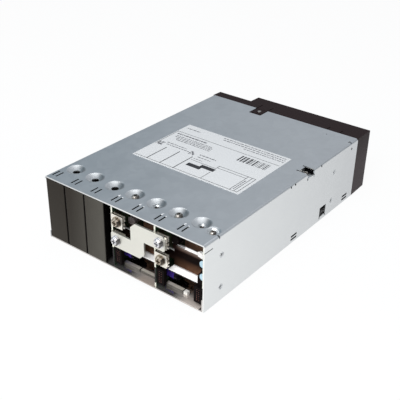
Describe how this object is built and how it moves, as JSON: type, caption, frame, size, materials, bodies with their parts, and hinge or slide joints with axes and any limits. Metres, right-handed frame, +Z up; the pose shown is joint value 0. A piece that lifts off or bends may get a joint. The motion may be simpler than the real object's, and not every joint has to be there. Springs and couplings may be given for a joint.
{
  "type": "switching power supply",
  "caption": "Modular switching power supply: flat folded steel case with pressed screw seats, open-front output modules joined by a link bar, blank panels and a moulded rear fan cover.",
  "frame": {"origin": "centre of the underside of the steel case, without the rear cover", "axes": "+X to the right seen from the output side, +Y from the output side to the fans, +Z up"},
  "size_m": [0.178, 0.2817, 0.0638],
  "materials": {
    "zinc_steel": "zinc-plated sheet, satin",
    "panel_grey": "dark matt grey",
    "cover_plastic": "moulded, fine grain",
    "fan_plastic": "moulded",
    "connector_plastic": "moulded",
    "board_green": "solder mask over glass laminate",
    "tinned_copper": "tin plated",
    "heatsink_metal": "bright, unpainted",
    "screw_steel": "nickel plated",
    "can_violet": "sleeved aluminium can",
    "can_black": "sleeved aluminium can",
    "ferrite": "sintered ferrite",
    "winding": "enamelled copper on a core",
    "film_box": "potted box",
    "disc_blue": "lacquered ceramic",
    "insulator": "insulating film",
    "label_film": "printed film"
  },
  "bodies": {
    "supply": {"case_shell": "zinc_steel", "base_tray": "zinc_steel", "clinch_nuts": "screw_steel", "blank_panel_1": "panel_grey", "blank_panel_2": "panel_grey", "blank_panel_3": "panel_grey", "link_bar": "tinned_copper", "terminal_screws": "screw_steel", "module_screws": "screw_steel", "case_screws": "screw_steel", "signal_board": "board_green", "signal_header": "connector_plastic", "signal_capacitors": "disc_blue", "signal_bracket": "zinc_steel", "main_board": "board_green", "board_spacers": "screw_steel", "board_screws": "screw_steel", "insulator_sheet": "insulator", "backplane_board": "board_green", "backplane_sockets": "connector_plastic", "bulk_capacitors": "can_black", "primary_heatsink": "heatsink_metal", "power_transistors": "connector_plastic", "boost_choke": "winding", "line_choke": "winding", "line_capacitors": "film_box", "inrush_relay": "connector_plastic", "standby_transformer": "ferrite", "line_fuse": "insulator", "rear_cover": "cover_plastic", "fan_frame_left": "fan_plastic", "fan_frame_right": "fan_plastic", "fan_screws": "screw_steel", "mains_inlet": "connector_plastic", "inlet_prongs": "tinned_copper", "inlet_screws": "screw_steel", "rating_label": "label_film", "module_a_board": "board_green", "module_a_upper_terminal": "tinned_copper", "module_a_lower_terminal": "tinned_copper", "module_a_heatsink": "heatsink_metal", "module_a_bracket": "zinc_steel", "module_a_capacitors": "can_violet", "module_a_choke": "ferrite", "module_a_header": "connector_plastic", "module_a_transformer": "ferrite", "module_a_filter_can": "can_black", "module_b_board": "board_green", "module_b_upper_terminal": "tinned_copper", "module_b_lower_terminal": "tinned_copper", "module_b_heatsink": "heatsink_metal", "module_b_bracket": "zinc_steel", "module_b_capacitors": "can_violet", "module_b_choke": "ferrite", "module_b_header": "connector_plastic", "module_b_transformer": "ferrite", "module_b_filter_can": "can_black"},
    "left_fan": {"fan_rotor_left": "fan_plastic"},
    "right_fan": {"fan_rotor_right": "fan_plastic"}
  },
  "joints": [
    {"name": "left_fan_spin", "type": "hinge", "parent": "supply", "child": "left_fan", "pos_m": [-0.01225, 0.13845, 0.03175], "axis": [0, 1, 0], "continuous": true},
    {"name": "right_fan_spin", "type": "hinge", "parent": "supply", "child": "right_fan", "pos_m": [0.05375, 0.13845, 0.03175], "axis": [0, 1, 0], "continuous": true}
  ]
}
